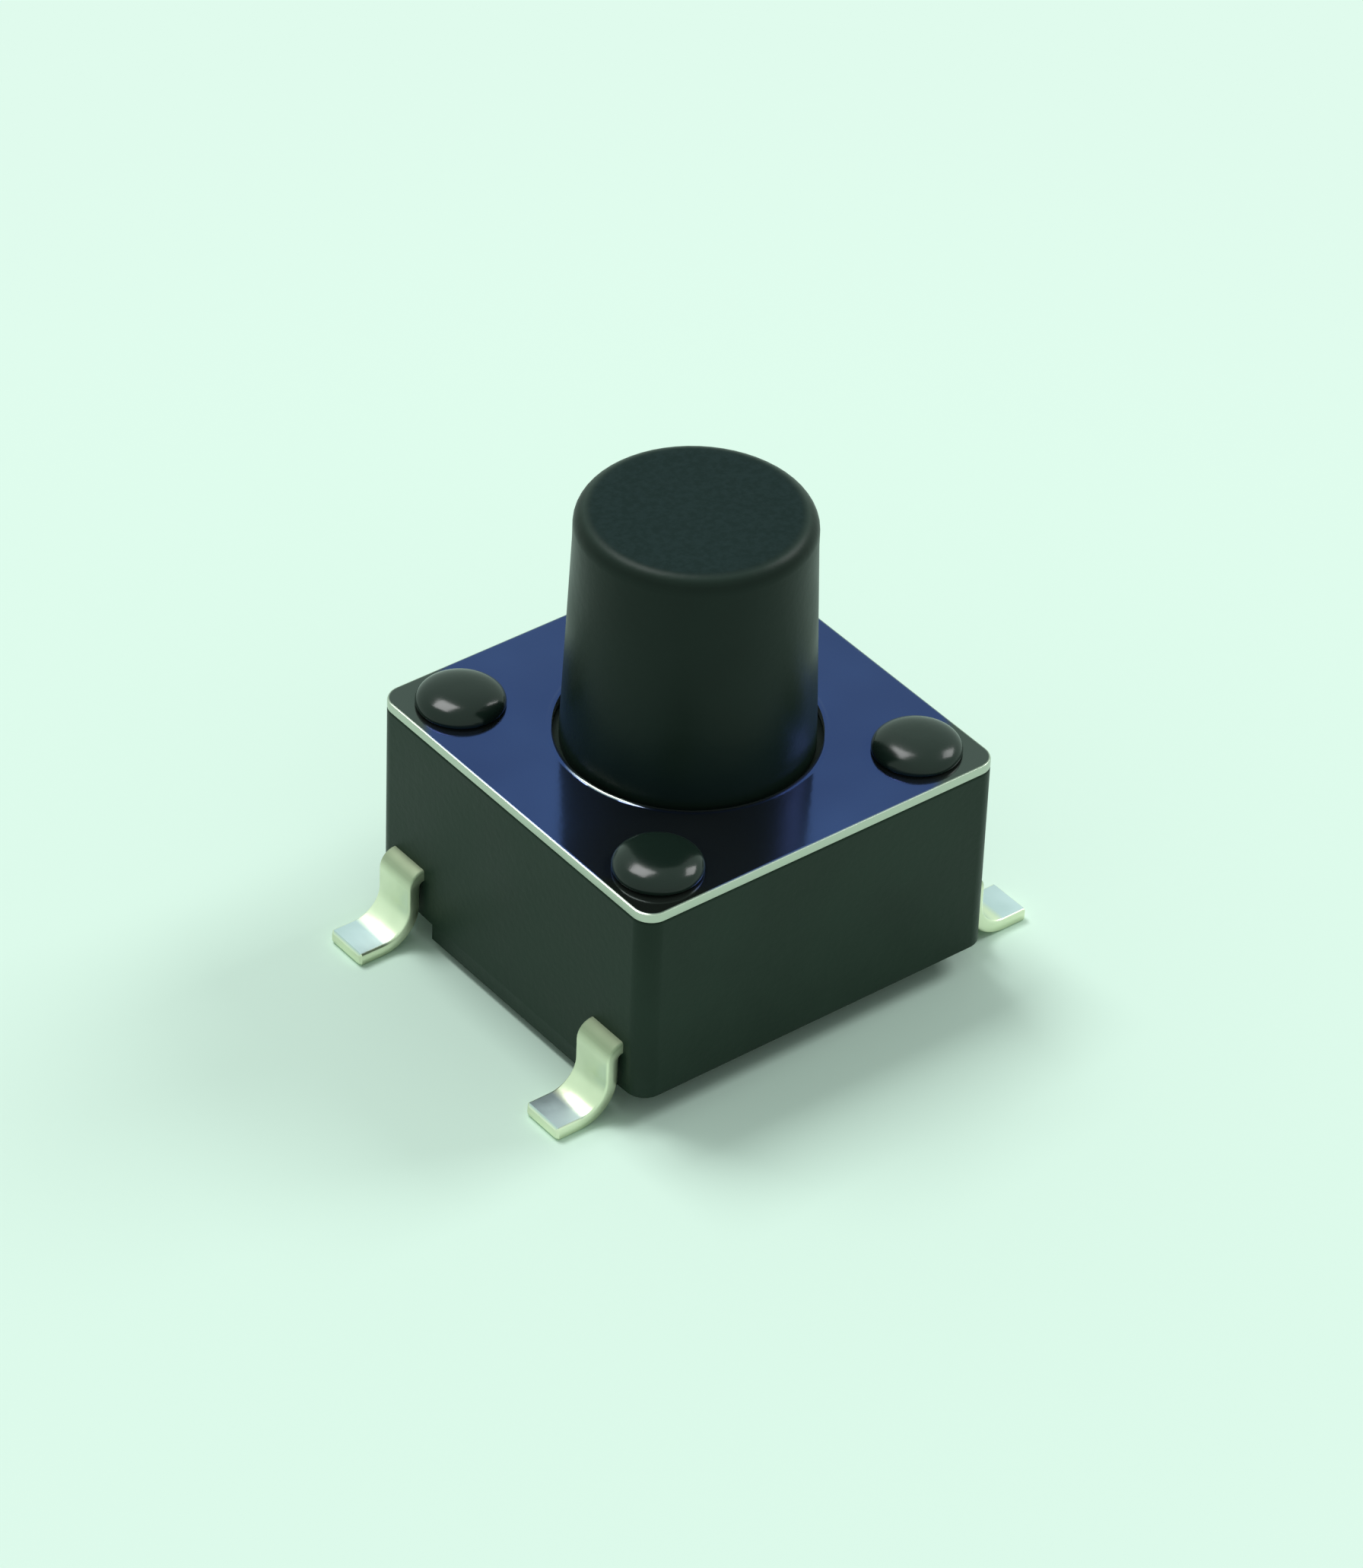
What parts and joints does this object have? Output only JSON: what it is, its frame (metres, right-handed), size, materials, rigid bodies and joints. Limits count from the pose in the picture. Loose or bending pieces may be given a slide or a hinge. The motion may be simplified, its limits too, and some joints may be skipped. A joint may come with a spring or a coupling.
{
  "type": "tactile push button switch",
  "caption": "Surface-mount tactile push button switch: square moulded housing, steel cover plate held by staked studs, tall round stem over a snap dome, gull-wing leads.",
  "frame": {"origin": "middle of the switch in the board's plane, on which the undersides of the feet lie", "axes": "+Z out of the board towards the button's top, the leads leave on the -X and +X sides"},
  "size_m": [0.0082, 0.006, 0.0071],
  "materials": {
    "housing_plastic": "dark grey moulded plastic with a faint green cast, satin, staked heads glossy",
    "stem_plastic": "dark grey moulded plastic, satin side and matt top",
    "cover_steel": "polished sheet that looks deep blue on top, bare bright cut edges",
    "dome_steel": "bright rolled spring sheet",
    "lead_metal": "bright tin plating"
  },
  "bodies": {
    "base": {"housing": "housing_plastic", "cover_plate": "cover_steel", "snap_dome": "dome_steel", "centre_terminal": "lead_metal", "outer_terminal": "lead_metal"},
    "button": {"stem": "stem_plastic"}
  },
  "joints": [
    {"name": "button_press", "type": "slide", "parent": "base", "child": "button", "axis": [0, 0, -1], "range_m": [0, 0.00025], "stiffness_N_per_m": 6000, "deforming": ["snap_dome"]}
  ]
}
